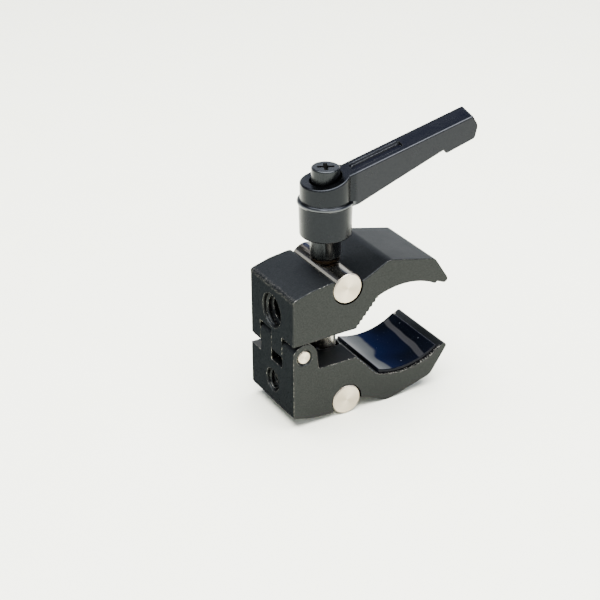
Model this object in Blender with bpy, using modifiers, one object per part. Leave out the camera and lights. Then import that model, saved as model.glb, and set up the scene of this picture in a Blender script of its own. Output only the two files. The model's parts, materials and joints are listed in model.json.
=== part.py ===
"""Small super clamp: two hinged jaws, a clamp screw through two cross barrels, and an indexing lever.

Every size is in millimetres in the clamp's drawing frame and is turned to metres where the mesh is made.
Drawing frame: X runs from the flat back face to the jaw tips, Y runs along the hinge pin with zero at
mid-thickness, Z runs up along the clamp screw, with zero on the lower barrel's axis.
The finished clamp stands on Z = 0, centred over the origin.
"""
from math import atan2, ceil, cos, pi, radians, sin, sqrt, tan

import bmesh
import bpy
from mathutils import Matrix, Vector

MM = 0.001
ARC_STEP = radians(9)       # longest turn of one chord on a rounded corner
RUN_GAP = 0.08              # radial running clearance of a steel shaft in its hole
REST_GAP = 0.12             # between pieces that touch on the real clamp
OVERCUT = 3.0               # how far a cutter reaches past the surface it leaves by

# Jaws
JAW_WIDTH = 24.0
HALF_WIDTH = JAW_WIDTH / 2
JAW_EDGE = 0.35             # broken edge along both sides of a jaw
UPPER_BOTTOM = 22.35        # underside of the upper jaw behind the throat
LOWER_FLOOR = 13.15         # floor of the lower jaw behind the throat
SLOT_FLOOR = 12.6           # milled floor under the upper jaw's knuckles
JAW_ARC_R = 22.5            # both tube seats
UPPER_ARC = (36.1, 9.85)    # centre of the upper tube seat
LOWER_ARC = (36.5, 26.1)    # centre of the lower tube seat
UPPER_SLOPE = ((27.7, 30.7), (20.6, 22.6))   # toothed slope: foot at the seat, end at the underside
LOWER_SLOPE = ((27.9, 5.3), (20.75, 13.15))  # toothed slope: foot at the seat, end at the floor
TEETH = 7
UPPER_TOOTH_DEPTH = 0.45
LOWER_TOOTH_DEPTH = 0.35
FINE_TEETH = (-111.2, -60.0, 25, 0.22)       # lower seat: angles from and to, number and depth

# Hinge
PIN_X = 3.6
PIN_Z = 18.0
PIN_R = 2.0
PIN_LENGTH = 23.6
KNUCKLE_R = 4.05
KNUCKLE_CUTS = (-HALF_WIDTH, -5.6, 0.35, 6.7, HALF_WIDTH)   # lower, upper, lower, upper knuckle
KNUCKLE_GAP = 0.15

# Clamp screw and barrels
SCREW_X = 17.5
UPPER_BARREL_Z = 36.0
LOWER_BARREL_Z = 0.0
BARREL_R = 4.5
BARREL_ENDS = (-12.15, 11.5)
GROOVE_R = 4.8
STUD_R = 3.0                # M6
STUD_BOTTOM = -3.9
STUD_TOP = 47.4
SLOT_WIDTH = 6.8
SWING_IN = radians(8.5)     # how far the stud leans towards the hinge with the jaws wide open
SWING_OUT = radians(11.5)   # how far it leans towards the tips with the jaws closed
SPOT_FACE_Z = 40.0

# Sockets in the back face
BIG_SOCKET = (28.5, 9.525 / 2, 10.5)     # height, radius and depth: 3/8 in - 16
SMALL_SOCKET = (5.8, 6.35 / 2, 9.5)      # 1/4 in - 20
SOCKET_CHAMFER = 0.45

# Lever, its toothed insert, spring and retaining screw
COLLAR_R = 4.35
COLLAR_BOTTOM = 41.5
HUB_BOTTOM = 48.0
HUB_R_BOTTOM = 7.3
HUB_R_BEAD = 7.5
BEAD_Z = 58.0
BEAD_R = 7.95
HUB_R_TOP = 7.15
HUB_TOP = 63.75
LEVER_TURN = radians(-14.6)
ARM_WIDTH = 8.4
TIP_R = 42.2
ARM_SLOPE = radians(20.9)
POCKET_R = 14.2             # middle of the pocket in the arm's top
POCKET = (15.4, 4.3, 0.65, 0.7)              # its length, width, draft and depth
SPLINE_TEETH = 24
SPLINE_BOTTOM = 50.9
SPLINE_TOP = 54.2
SPLINE_R = (4.95, 5.5)      # root and crest of the insert's teeth
SPLINE_GAP = 0.13
INSERT_TOP = 54.5
WEB_BOTTOM = 54.8
WEB_TOP = 55.8
WEB_HOLE_R = 2.6
SPRING_BORE_R = 4.6
HEAD_R = 4.0
HEAD_BOTTOM = 63.0
HEAD_TOP = 68.0
RETAINER_R = 2.0            # M4
RETAINER_BOTTOM = 48.9
SPRING_R = 3.4
SPRING_WIRE_R = 0.35
SPRING_TURNS = 4.5

# Pad
PAD_THICK = 1.0
PAD_INSET = 0.7
PAD_START = -111.0          # angle on the seat's arc where the pad begins, just past the toothed slope
PAD_LIP = 1.3               # straight run of the pad past the end of the seat's arc

# Middle of the footprint in the drawing frame, and the height of what the clamp stands on
FOOT = Vector((29.5, -1.25, -4.5))


# ---------------------------------------------------------------- scene, materials and parenting

def clear_scene():
    for obj in list(bpy.data.objects):
        bpy.data.objects.remove(obj, do_unlink=True)


def new_collection(name):
    collection = bpy.data.collections.new(name)
    bpy.context.scene.collection.children.link(collection)
    return collection


def new_material(name, color, roughness, metallic):
    material = bpy.data.materials.new(name)
    material.use_nodes = True
    shader = material.node_tree.nodes["Principled BSDF"]
    shader.inputs["Base Color"].default_value = (*color, 1.0)
    shader.inputs["Roughness"].default_value = roughness
    shader.inputs["Metallic"].default_value = metallic
    return material


def axis_empty(name, x, y, z, parent=None):
    """An empty on a joint's axis; what moves with that joint is parented to it."""
    empty = bpy.data.objects.new(name, None)
    empty.empty_display_size = 5 * MM
    empty.location = Vector((x, y, z)) * MM
    PARTS.objects.link(empty)
    if parent:
        attach(empty, parent)
    bpy.context.view_layer.update()
    return empty


def attach(obj, parent):
    bpy.context.view_layer.update()
    obj.parent = parent
    obj.matrix_parent_inverse = parent.matrix_world.inverted()


def finish(obj, parent, material):
    """Names the piece's material and hangs it on the empty that it moves with."""
    obj.data.materials.clear()
    obj.data.materials.append(material)
    obj.data.shade_smooth()
    obj.data.set_sharp_from_angle(angle=radians(25))
    attach(obj, parent)
    return obj


# ---------------------------------------------------------------- outlines

def arc(centre, radius, start, end, steps):
    """Points (x, z, 0) along an arc, angles in degrees from +X towards +Z."""
    angles = [radians(start + (end - start) * i / steps) for i in range(steps + 1)]
    return [(centre[0] + radius * cos(a), centre[1] + radius * sin(a), 0) for a in angles]


def filleted(corners):
    """Turns corners (x, z, radius) into outline points, with chords round every corner that has a radius."""
    points = []
    for i, (x, z, radius) in enumerate(corners):
        corner = Vector((x, z))
        if radius == 0:
            points.append(corner)
            continue
        before = (Vector(corners[i - 1][:2]) - corner).normalized()
        after = (Vector(corners[(i + 1) % len(corners)][:2]) - corner).normalized()
        half = before.angle(after) / 2
        centre = corner + (before + after).normalized() * radius / sin(half)
        start = corner + before * radius / tan(half) - centre
        end = corner + after * radius / tan(half) - centre
        turn = atan2(start.x * end.y - start.y * end.x, start.dot(end))
        steps = max(2, ceil(abs(turn) / ARC_STEP))
        for k in range(steps + 1):
            points.append(centre + Matrix.Rotation(turn * k / steps, 2) @ start)
    return points


def star(root_r, crest_r, teeth):
    """Outline of a toothed shaft or bore with pointed teeth."""
    points = []
    for i in range(2 * teeth):
        angle = pi * i / teeth
        radius = crest_r if i % 2 == 0 else root_r
        points.append(Vector((radius * cos(angle), radius * sin(angle))))
    return points


# ---------------------------------------------------------------- solids

def curve_to_mesh(curve_object):
    """The curve object's mesh, welded and with flat faces in one piece; the curve is removed."""
    bpy.context.view_layer.update()
    evaluated = curve_object.evaluated_get(bpy.context.evaluated_depsgraph_get())
    mesh = bpy.data.meshes.new_from_object(evaluated)
    name = curve_object.name
    matrix = curve_object.matrix_world.copy()
    bm = bmesh.new()
    bm.from_mesh(mesh)
    bmesh.ops.remove_doubles(bm, verts=bm.verts, dist=0.002 * MM)
    bmesh.ops.dissolve_limit(bm, angle_limit=radians(0.3), verts=bm.verts, edges=bm.edges)
    bmesh.ops.recalc_face_normals(bm, faces=bm.faces)
    bm.to_mesh(mesh)
    bm.free()
    bpy.data.objects.remove(curve_object, do_unlink=True)
    obj = bpy.data.objects.new(name, mesh)
    PARTS.objects.link(obj)
    obj.matrix_world = matrix
    return obj


def slab(name, outline, low, high, along="Y"):
    """An outline extruded from low to high: (x, z) points along Y, or (x, y) points along Z."""
    curve = bpy.data.curves.new(name, "CURVE")
    curve.dimensions = "2D"
    curve.fill_mode = "BOTH"
    curve.extrude = (high - low) * MM / 2
    spline = curve.splines.new("POLY")
    spline.points.add(len(outline) - 1)
    for point, (u, v) in zip(spline.points, outline):
        point.co = (u * MM, v * MM, 0, 1)
    spline.use_cyclic_u = True
    obj = bpy.data.objects.new(name, curve)
    middle = (low + high) * MM / 2
    if along == "Y":
        obj.rotation_euler = (pi / 2, 0, 0)
        obj.location = (0, middle, 0)
    else:
        obj.location = (0, 0, middle)
    PARTS.objects.link(obj)
    return curve_to_mesh(obj)


def lathe(name, profile, steps, along="Z", at=(0, 0, 0)):
    """A turned solid: (radius, height) points from the top of its outer side down, ends on the axis or closed."""
    mesh = bpy.data.meshes.new(name)
    count = len(profile)
    solid = profile[0][0] == 0
    edges = [(i, i + 1) for i in range(count - 1)] + ([] if solid else [(count - 1, 0)])
    mesh.from_pydata([(r * MM, 0, h * MM) for r, h in profile], edges, [])
    obj = bpy.data.objects.new(name, mesh)
    PARTS.objects.link(obj)
    screw = obj.modifiers.new("turn", "SCREW")
    screw.steps = steps
    screw.render_steps = steps
    screw.use_merge_vertices = True
    screw.merge_threshold = 0.00001
    obj.rotation_euler = {"X": (0, pi / 2, 0), "Y": (-pi / 2, 0, 0), "Z": (0, 0, 0)}[along]
    obj.location = Vector(at) * MM
    return obj


def rod(name, radius, low, high, steps, along="Z", at=(0, 0, 0), chamfer=0.0):
    """A round bar from low to high, with both ends chamfered."""
    ends = [(radius - chamfer, high), (radius, high - chamfer), (radius, low + chamfer), (radius - chamfer, low)]
    if chamfer == 0:
        ends = [(radius, high), (radius, low)]
    return lathe(name, [(0, high), *ends, (0, low)], steps, along, at)


def edge_bevel(obj, width, segments, angle=60):
    bevel = obj.modifiers.new("broken edges", "BEVEL")
    bevel.width = width * MM
    bevel.segments = segments
    bevel.limit_method = "ANGLE"
    bevel.angle_limit = radians(angle)
    return bevel


def cut(obj, cutter):
    """Subtracts the cutter and puts it away with the other cutters."""
    boolean = obj.modifiers.new("cut " + cutter.name, "BOOLEAN")
    boolean.operation = "DIFFERENCE"
    boolean.solver = "EXACT"
    boolean.object = cutter
    put_away(cutter)


def join(obj, other):
    boolean = obj.modifiers.new("join " + other.name, "BOOLEAN")
    boolean.operation = "UNION"
    boolean.solver = "EXACT"
    boolean.object = other
    put_away(other)


def put_away(tool):
    if tool.name in PARTS.objects:
        PARTS.objects.unlink(tool)
        CUTTERS.objects.link(tool)
        attach(tool, CLAMP)
    tool.hide_render = True
    tool.display_type = "WIRE"


def tooth_comb(name, slope, depth, side):
    """Cutter for the right-angled teeth of a jaw's slope; side is +1 where metal lies above the slope."""
    foot, end = Vector(slope[0]), Vector(slope[1])
    run = end - foot
    into = Vector((-run.y, run.x)).normalized()
    if into.y * side < 0:
        into = -into
    points = [foot - into * OVERCUT]
    for i in range(TEETH):
        points.append(foot + run * (i + 0.12) / TEETH - into * 0.05)
        points.append(foot + run * (i + 0.56) / TEETH + into * depth)
    points.append(foot + run * (TEETH - 1 + 0.98) / TEETH - into * 0.05)
    points.append(end - into * OVERCUT)
    return slab(name, points, -HALF_WIDTH - OVERCUT, HALF_WIDTH + OVERCUT)


def seat_comb(name, centre, start, end, teeth, depth):
    """Cutter for the fine teeth across a tube seat; angles in degrees on the seat's arc."""
    points = arc(centre, JAW_ARC_R - OVERCUT, end, start, 6)
    for i in range(teeth):
        for share, radius in ((0.08, JAW_ARC_R - 0.06), (0.5, JAW_ARC_R + depth)):
            angle = radians(start + (end - start) * (i + share) / teeth)
            points.append((centre[0] + radius * cos(angle), centre[1] + radius * sin(angle), 0))
    points += arc(centre, JAW_ARC_R - 0.06, end, end, 1)[:1]
    return slab(name, [Vector(p[:2]) for p in points], -HALF_WIDTH - OVERCUT, HALF_WIDTH + OVERCUT)


def stud_slot(name, pivot_z, far_z):
    """Tapered slot that the stud swings in, from its barrel's axis to past the jaw's far surface."""
    depth = abs(far_z - pivot_z)
    bm = bmesh.new()
    for z, reach in ((pivot_z, 0.0), (far_z, depth)):
        for x in (SCREW_X - reach * tan(SWING_IN), SCREW_X + reach * tan(SWING_OUT)):
            for i in range(24):
                angle = 2 * pi * i / 24
                y = SLOT_WIDTH / 2 * sin(angle)
                bm.verts.new(Vector((x + SLOT_WIDTH / 2 * cos(angle), y, z)) * MM)
    bmesh.ops.convex_hull(bm, input=bm.verts)
    bmesh.ops.dissolve_limit(bm, angle_limit=radians(0.3), verts=bm.verts, edges=bm.edges)
    bmesh.ops.recalc_face_normals(bm, faces=bm.faces)
    mesh = bpy.data.meshes.new(name)
    bm.to_mesh(mesh)
    bm.free()
    obj = bpy.data.objects.new(name, mesh)
    PARTS.objects.link(obj)
    return obj


def socket(name, size):
    """Cutter for a tapped socket in the back face: chamfered mouth, plain bore, drill point."""
    z, radius, depth = size
    mouth = radius + SOCKET_CHAMFER
    profile = [(0, depth + radius * 0.5), (radius, depth), (radius, SOCKET_CHAMFER), (mouth, 0),
               (mouth, -OVERCUT), (0, -OVERCUT)]
    return lathe(name, profile, 40, "X", (0, 0, z))


def knuckle_slot(name, index, side_gap, z_low, z_high):
    """Cutter that takes away one knuckle, so that the other jaw's knuckle fits between."""
    low = KNUCKLE_CUTS[index] - side_gap
    high = KNUCKLE_CUTS[index + 1] + side_gap
    if index == 0:
        low -= OVERCUT
    if index == 3:
        high += OVERCUT
    x_end = PIN_X + KNUCKLE_R + 0.9
    corners = [(-OVERCUT, z_low, 0), (x_end, z_low, 0.6), (x_end, z_high, 0.6), (-OVERCUT, z_high, 0)]
    return slab(name, filleted(corners), low, high)


def pin_hole(name, radius):
    mouth = radius + 0.5
    profile = [(0, HALF_WIDTH + OVERCUT), (mouth, HALF_WIDTH + OVERCUT), (mouth, HALF_WIDTH),
               (radius, HALF_WIDTH - 0.5), (radius, 0.5 - HALF_WIDTH), (mouth, -HALF_WIDTH),
               (mouth, -HALF_WIDTH - OVERCUT), (0, -HALF_WIDTH - OVERCUT)]
    return lathe(name, profile, 32, "Y", (PIN_X, 0, PIN_Z))


# ---------------------------------------------------------------- the jaws

def upper_jaw_outline():
    heel = PIN_Z - sqrt(KNUCKLE_R ** 2 - PIN_X ** 2)
    heel_angle = -180 + 180 / pi * atan2(PIN_Z - heel, PIN_X)
    corners = [
        (0, 36.47, 0.9),            # back face up to the bowed top
        (6.0, 38.66, 36),           # bow
        (13.6, 39.12, 1.2),         # lip of the barrel groove
        (14.0, 36.5, 0),            # inside the groove, cut away
        (21.0, 36.43, 0),
        (31.2, 41.32, 4.0),         # ridge
        (46.87, 37.66, 3.0),        # brow of the nose
        (53.3, 27.6, 1.1),          # nose
        (47.8, 30.0, 0),            # small step before the tube seat
        (47.4, 29.5, 0),
    ]
    corners += arc(UPPER_ARC, JAW_ARC_R, 61.2, 111.9, 11)
    corners += [
        (UPPER_SLOPE[1][0] - 0.2, UPPER_BOTTOM, 0.6),
        (PIN_X + KNUCKLE_R, UPPER_BOTTOM, 0.6),
    ]
    corners += arc((PIN_X, PIN_Z), KNUCKLE_R, 0, heel_angle, 14)
    return filleted(corners)


def lower_jaw_outline():
    brow = PIN_Z + sqrt(KNUCKLE_R ** 2 - PIN_X ** 2)
    brow_angle = 180 - 180 / pi * atan2(brow - PIN_Z, PIN_X)
    corners = [
        (0, -0.9, 0.9),             # back face down to the bowed underside
        (5.6, -2.95, 34),           # bow
        (13.4, -3.05, 1.6),         # lip of the barrel groove
        (14.0, -0.5, 0),            # inside the groove, cut away
        (21.0, -0.06, 0),
        (31.3, -4.88, 6.0),         # ridge that the clamp stands on
        (46.57, -0.62, 3.0),        # brow of the nose
        (54.1, 10.4, 0.865),        # lip in front of the pad
    ]
    corners += arc(LOWER_ARC, JAW_ARC_R, -59, -112.4, 11)
    corners += [
        (*LOWER_SLOPE[1], 0.4),
        (PIN_X + KNUCKLE_R + 0.45, LOWER_FLOOR, 0.8),
    ]
    corners += arc((PIN_X, PIN_Z), KNUCKLE_R, 0, brow_angle, 14)
    return filleted(corners)


def make_upper_jaw():
    jaw = slab("upper_jaw", upper_jaw_outline(), -HALF_WIDTH, HALF_WIDTH)
    edge_bevel(jaw, JAW_EDGE, 2)
    top = UPPER_BOTTOM
    for index in (0, 2):
        cut(jaw, knuckle_slot(f"upper_knuckle_slot_{index}", index, KNUCKLE_GAP / 2, PIN_Z - 9, top))
    cut(jaw, rod("upper_groove", GROOVE_R, -HALF_WIDTH - OVERCUT, HALF_WIDTH + OVERCUT, 48, "Y",
                 (SCREW_X, 0, UPPER_BARREL_Z)))
    cut(jaw, stud_slot("upper_stud_slot", UPPER_BARREL_Z, UPPER_BOTTOM - OVERCUT))
    cut(jaw, socket("big_socket", BIG_SOCKET))
    cut(jaw, pin_hole("upper_pin_hole", PIN_R + RUN_GAP + 0.02))
    cut(jaw, tooth_comb("upper_teeth", UPPER_SLOPE, UPPER_TOOTH_DEPTH, 1))
    return finish(jaw, UPPER, MATTE_BLACK)


def make_lower_jaw():
    jaw = slab("lower_jaw", lower_jaw_outline(), -HALF_WIDTH, HALF_WIDTH)
    edge_bevel(jaw, JAW_EDGE, 2)
    for index in (1, 3):
        cut(jaw, knuckle_slot(f"lower_knuckle_slot_{index}", index, KNUCKLE_GAP / 2, SLOT_FLOOR, PIN_Z + 9))
    cut(jaw, rod("lower_groove", GROOVE_R, -HALF_WIDTH - OVERCUT, HALF_WIDTH + OVERCUT, 48, "Y",
                 (SCREW_X, 0, LOWER_BARREL_Z)))
    cut(jaw, stud_slot("lower_stud_slot", LOWER_BARREL_Z, LOWER_FLOOR + OVERCUT))
    cut(jaw, socket("small_socket", SMALL_SOCKET))
    cut(jaw, pin_hole("lower_pin_hole", PIN_R + RUN_GAP))
    cut(jaw, tooth_comb("lower_teeth", LOWER_SLOPE, LOWER_TOOTH_DEPTH, -1))
    cut(jaw, seat_comb("lower_seat_teeth", LOWER_ARC, *FINE_TEETH))
    return finish(jaw, CLAMP, MATTE_BLACK)


def make_pad():
    """The pad lies on the lower jaw's seat, from the foot of the toothed slope to just past the arc's end."""
    end_angle = radians(-59)
    centre = Vector(LOWER_ARC)
    seat_end = centre + Vector((cos(end_angle), sin(end_angle))) * JAW_ARC_R
    outward = Vector((-sin(end_angle), cos(end_angle)))
    off_seat = Vector((-outward.y, outward.x))

    def side(offset, reverse):
        run = arc(LOWER_ARC, JAW_ARC_R - offset, PAD_START, -59, 11)
        tip = seat_end + outward * PAD_LIP + off_seat * offset
        run.append((*tip, 0.25))
        return run[::-1] if reverse else run

    outline = filleted(side(REST_GAP, False) + side(REST_GAP + PAD_THICK, True))
    pad = slab("jaw_pad", outline, PAD_INSET - HALF_WIDTH, HALF_WIDTH - PAD_INSET)
    return finish(pad, CLAMP, PAD_VINYL)


# ---------------------------------------------------------------- pin, barrels and clamp screw

def make_pin():
    pin = rod("hinge_pin", PIN_R, -PIN_LENGTH / 2, PIN_LENGTH / 2, 32, "Y", (PIN_X, 0, PIN_Z), 0.25)
    return finish(pin, CLAMP, STEEL)


def make_barrel(name, z, hole_r, parent):
    barrel = rod(name, BARREL_R, *BARREL_ENDS, 48, "Y", (SCREW_X, 0, z), 0.3)
    hole = rod(name + "_hole", hole_r, z - 2 * BARREL_R, z + 2 * BARREL_R, 32, "Z", (SCREW_X, 0, 0))
    cut(barrel, hole)
    return finish(barrel, parent, STEEL)


def make_upper_barrel():
    barrel = make_barrel("upper_barrel", UPPER_BARREL_Z, STUD_R + 0.15, UPPER_SWIVEL)
    seat = rod("washer_seat", COLLAR_R + 0.4, SPOT_FACE_Z, SPOT_FACE_Z + 5, 40, "Z", (SCREW_X, 0, 0))
    cut(barrel, seat)
    return barrel


def make_washer():
    outer, inner = 4.2, STUD_R + 0.25
    low, high = SPOT_FACE_Z + 0.3, SPOT_FACE_Z + 1.2
    profile = [(outer, high), (outer, low), (inner, low), (inner, high)]
    washer = lathe("thrust_washer", profile, 40, "Z", (SCREW_X, 0, 0))
    return finish(washer, UPPER_SWIVEL, BRONZE)


def make_stud():
    stud = rod("clamp_stud", STUD_R, STUD_BOTTOM, STUD_TOP, 32, "Z", (SCREW_X, 0, 0), 0.6)
    return finish(stud, SCREW, STEEL)


def make_insert():
    """Steel insert: smooth collar below, ring of teeth above, stepped bore for the stud and the retainer."""
    collar = [(0, INSERT_TOP), (COLLAR_R - 0.3, INSERT_TOP), (COLLAR_R, INSERT_TOP - 0.3),
              (COLLAR_R, COLLAR_BOTTOM + 0.4), (COLLAR_R - 0.4, COLLAR_BOTTOM), (0, COLLAR_BOTTOM)]
    insert = lathe("serrated_insert", collar, 48, "Z", (SCREW_X, 0, 0))
    ring = slab("insert_teeth", star(*SPLINE_R, SPLINE_TEETH), SPLINE_BOTTOM, SPLINE_TOP, "Z")
    ring.location.x = SCREW_X * MM
    join(insert, ring)
    step = STUD_TOP + 0.4
    stud_r, retainer_r = STUD_R + RUN_GAP, RETAINER_R + RUN_GAP
    bore = [(0, INSERT_TOP + OVERCUT), (retainer_r, INSERT_TOP + OVERCUT), (retainer_r, step),
            (stud_r, step), (stud_r, COLLAR_BOTTOM - OVERCUT), (0, COLLAR_BOTTOM - OVERCUT)]
    cut(insert, lathe("insert_bore", bore, 32, "Z", (SCREW_X, 0, 0)))
    return finish(insert, SCREW, DARK_STEEL)


def make_retainer():
    head = [(0, HEAD_TOP), (HEAD_R - 0.35, HEAD_TOP), (HEAD_R, HEAD_TOP - 0.3), (HEAD_R, HEAD_BOTTOM + 0.2),
            (HEAD_R - 0.2, HEAD_BOTTOM), (RETAINER_R, HEAD_BOTTOM), (RETAINER_R, RETAINER_BOTTOM + 0.4),
            (RETAINER_R - 0.4, RETAINER_BOTTOM), (0, RETAINER_BOTTOM)]
    retainer = lathe("retaining_screw", head, 40, "Z", (SCREW_X, 0, 0))
    arm, half = 2.1, 0.42
    cross = [(arm, half), (half, half), (half, arm), (-half, arm), (-half, half), (-arm, half),
             (-arm, -half), (-half, -half), (-half, -arm), (half, -arm), (half, -half), (arm, -half)]
    recess = slab("cross_recess", cross, HEAD_TOP - 1.8, HEAD_TOP + OVERCUT, "Z")
    recess.rotation_euler.z = radians(-27)
    recess.location.x = SCREW_X * MM
    cut(retainer, recess)
    return finish(retainer, SCREW, DARK_STEEL)


# ---------------------------------------------------------------- lever

def arm_top(r):
    """Height of the lever's top above the drawing's zero, r from the screw's axis along the arm."""
    return HUB_TOP + 2.65 + (r - 5.9) * tan(ARM_SLOPE)


def drafted_pocket(name, length, width, draft, depth):
    """Cutter for a shallow pocket with sloping walls; its mouth is at zero height, centred on the origin."""
    bm = bmesh.new()
    grow = OVERCUT / depth
    for z, inset in ((-depth, draft), (OVERCUT, -draft * grow)):
        half_x, half_y = length / 2 - inset, width / 2 - inset
        corners = [(-half_x, -half_y, 0.9), (half_x, -half_y, 0.9), (half_x, half_y, 0.9), (-half_x, half_y, 0.9)]
        for point in filleted(corners):
            bm.verts.new(Vector((*point, z)) * MM)
    bmesh.ops.convex_hull(bm, input=bm.verts)
    bmesh.ops.dissolve_limit(bm, angle_limit=radians(0.3), verts=bm.verts, edges=bm.edges)
    bmesh.ops.recalc_face_normals(bm, faces=bm.faces)
    mesh = bpy.data.meshes.new(name)
    bm.to_mesh(mesh)
    bm.free()
    obj = bpy.data.objects.new(name, mesh)
    PARTS.objects.link(obj)
    return obj


def turn_to_lever(obj):
    """Puts a piece drawn along +X from the screw's axis at the lever's own angle."""
    obj.matrix_world = (Matrix.Translation((SCREW_X * MM, 0, 0)) @ Matrix.Rotation(LEVER_TURN, 4, "Z")
                        @ obj.matrix_world)


def make_lever():
    tall = arm_top(HUB_R_TOP) + 1
    hub = [(0, tall), (HUB_R_TOP, tall), (HUB_R_TOP, BEAD_Z + 0.75), (BEAD_R - 0.25, BEAD_Z + 0.6),
           (BEAD_R, BEAD_Z), (BEAD_R - 0.2, BEAD_Z - 0.6), (HUB_R_BEAD, BEAD_Z - 0.9),
           (HUB_R_BOTTOM, HUB_BOTTOM + 0.8), (HUB_R_BOTTOM - 0.25, HUB_BOTTOM + 0.25),
           (HUB_R_BOTTOM - 0.8, HUB_BOTTOM), (0, HUB_BOTTOM)]
    lever = lathe("lever", hub, 60, "Z", (SCREW_X, 0, 0))

    arm_corners = [
        (0, 58.5, 0),
        (5.6, 57.0, 0),
        (8.2, 57.6, 1.5),                     # root on the hub
        (32.4, 70.35, 0),                     # underside up to the heel
        (33.3, 69.35, 0.3),                   # heel near the tip
        (41.3, 72.9, 1.3),
        (TIP_R, 76.6, 2.5),
        (TIP_R - 1.7, arm_top(TIP_R - 1.7), 0),
        (TIP_R - 2.2, arm_top(TIP_R - 2.2) + 1.5, 0),
        (0, arm_top(0) + 1.5, 0),
    ]
    arm = slab("lever_arm", filleted(arm_corners), -ARM_WIDTH / 2, ARM_WIDTH / 2)
    turn_to_lever(arm)
    join(lever, arm)

    bend = -1.04
    reach = 5.5
    roof = [(-12, HUB_TOP, 0), (bend, HUB_TOP, reach / tan(ARM_SLOPE / 2)), (48, arm_top(48), 0),
            (48, 90, 0), (-12, 90, 0)]
    top_cutter = slab("lever_top", filleted(roof), -12, 12)
    turn_to_lever(top_cutter)
    cut(lever, top_cutter)

    recess = drafted_pocket("lever_recess", *POCKET)
    middle = Vector((POCKET_R, 0, arm_top(POCKET_R))) * MM
    recess.matrix_world = Matrix.Translation(middle) @ Matrix.Rotation(-ARM_SLOPE, 4, "Y")
    turn_to_lever(recess)
    cut(lever, recess)

    bore_r = SPLINE_R[1] + SPLINE_GAP + 0.1
    crest_r = SPLINE_R[0] + SPLINE_GAP
    bore = [(0, 75), (SPRING_BORE_R, 75), (SPRING_BORE_R, WEB_TOP), (WEB_HOLE_R, WEB_TOP),
            (WEB_HOLE_R, WEB_BOTTOM), (crest_r, WEB_BOTTOM), (crest_r, SPLINE_BOTTOM + 0.1),
            (bore_r, SPLINE_BOTTOM + 0.1), (bore_r, HUB_BOTTOM - OVERCUT), (0, HUB_BOTTOM - OVERCUT)]
    cut(lever, lathe("lever_bore", bore, 48, "Z", (SCREW_X, 0, 0)))
    teeth = star(crest_r, SPLINE_R[1] + SPLINE_GAP, SPLINE_TEETH)
    spline_bore = slab("lever_teeth", teeth, SPLINE_BOTTOM - 0.5, WEB_BOTTOM - 0.2, "Z")
    spline_bore.location.x = SCREW_X * MM
    cut(lever, spline_bore)
    return finish(lever, LIFT, BLACK_LEVER)


def make_spring():
    """Compression spring with a closed coil at each end, between the lever's web and the screw's head."""
    low = WEB_TOP + SPRING_WIRE_R + REST_GAP
    high = HEAD_BOTTOM - SPRING_WIRE_R - REST_GAP
    closed = 2 * SPRING_WIRE_R + 0.08
    per_turn = 12
    count = int(SPRING_TURNS * per_turn)
    curve = bpy.data.curves.new("lever_spring", "CURVE")
    curve.dimensions = "3D"
    curve.bevel_depth = SPRING_WIRE_R * MM
    curve.bevel_resolution = 2
    curve.use_fill_caps = True
    spline = curve.splines.new("POLY")
    spline.points.add(count)
    for i, point in enumerate(spline.points):
        turns = i / per_turn
        open_part = min(max((turns - 1) / (SPRING_TURNS - 2), 0), 1)
        dead_part = min(turns, 1) + min(max(turns - SPRING_TURNS + 1, 0), 1)
        z = low + closed * dead_part + (high - low - 2 * closed) * open_part
        angle = 2 * pi * turns
        x = SCREW_X + SPRING_R * cos(angle)
        point.co = (x * MM, SPRING_R * sin(angle) * MM, z * MM, 1)
    spring = bpy.data.objects.new("lever_spring", curve)
    PARTS.objects.link(spring)
    return finish(curve_to_mesh(spring), INDEX, STEEL)


# ---------------------------------------------------------------- the clamp

clear_scene()
PARTS = new_collection("super_clamp")
CUTTERS = new_collection("cutters")

MATTE_BLACK = new_material("black coated aluminium", (0.035, 0.037, 0.038), 0.55, 0.0)
BLACK_LEVER = new_material("black coated zinc", (0.03, 0.031, 0.034), 0.4, 0.0)
STEEL = new_material("bright steel", (0.62, 0.6, 0.57), 0.32, 1.0)
DARK_STEEL = new_material("blackened steel", (0.13, 0.125, 0.11), 0.35, 1.0)
BRONZE = new_material("bronze", (0.4, 0.24, 0.1), 0.4, 1.0)
PAD_VINYL = new_material("dark vinyl", (0.008, 0.012, 0.03), 0.12, 0.0)

CLAMP = axis_empty("clamp", 0, 0, 0)
UPPER = axis_empty("upper_jaw_axis", PIN_X, 0, PIN_Z, CLAMP)
NUT_SWIVEL = axis_empty("lower_barrel_axis", SCREW_X, 0, LOWER_BARREL_Z, CLAMP)
UPPER_SWIVEL = axis_empty("upper_barrel_axis", SCREW_X, 0, UPPER_BARREL_Z, UPPER)
SCREW = axis_empty("screw_axis", SCREW_X, 0, COLLAR_BOTTOM, UPPER_SWIVEL)
INDEX = axis_empty("index_axis", SCREW_X, 0, SPLINE_TOP, SCREW)
LIFT = axis_empty("lift_axis", SCREW_X, 0, WEB_TOP, INDEX)

make_lower_jaw()
make_upper_jaw()
make_pin()
make_pad()
make_upper_barrel()
make_barrel("lower_barrel_nut", LOWER_BARREL_Z, STUD_R + RUN_GAP, NUT_SWIVEL)
make_washer()
make_stud()
make_insert()
make_lever()
make_spring()
make_retainer()

CLAMP.location = -FOOT * MM
bpy.context.view_layer.update()
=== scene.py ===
# %% [markdown]
# # A small super clamp
# A super clamp holds a lamp or a camera on a tube. Two aluminium jaws turn on a hinge pin, and a screw
# with a lever pulls them together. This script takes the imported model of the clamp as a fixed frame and
# gives it its looks: finer pieces where the frame is plain, threads, a pad, and a finish for every metal.

# %% Load the frame
import json
from math import atan2, ceil, cos, pi, radians, sin, tan

import bmesh
import bpy
from mathutils import Matrix, Vector


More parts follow.
